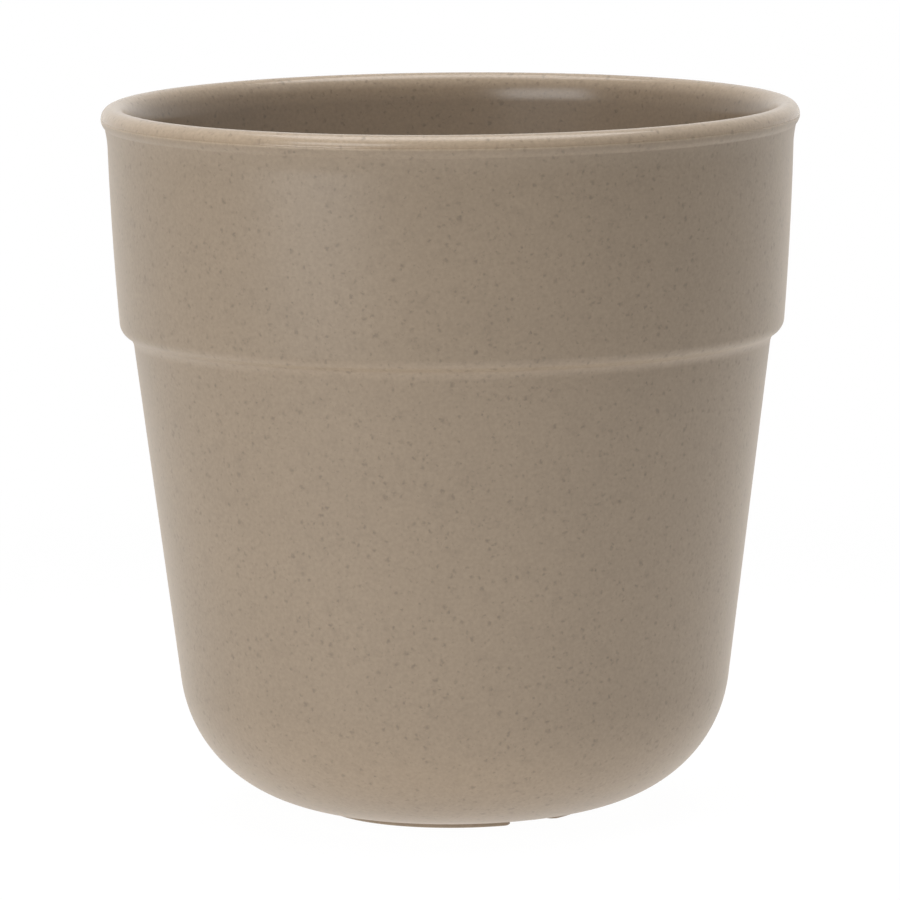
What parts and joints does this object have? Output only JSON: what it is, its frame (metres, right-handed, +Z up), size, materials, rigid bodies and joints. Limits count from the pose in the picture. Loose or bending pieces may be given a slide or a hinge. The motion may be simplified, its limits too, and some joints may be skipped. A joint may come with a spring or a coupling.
{
  "type": "coffee mug",
  "caption": "Handle-less double-walled coffee mug with a rounded lip, a ledge under its collar and a round bottom on a broken standing ring.",
  "frame": {"origin": "on the ground under the middle of the mug", "axes": "+Z up along the mug's axis, -Y towards the viewer"},
  "size_m": [0.0902, 0.0902, 0.092],
  "materials": {
    "shell": "matte taupe with fine darker specks",
    "liner": "satin warm taupe with fine darker specks",
    "base": "matte taupe with fine darker specks"
  },
  "bodies": {
    "root": {"outer_shell": "shell", "inner_liner": "liner", "base_cap": "base"}
  },
  "joints": []
}
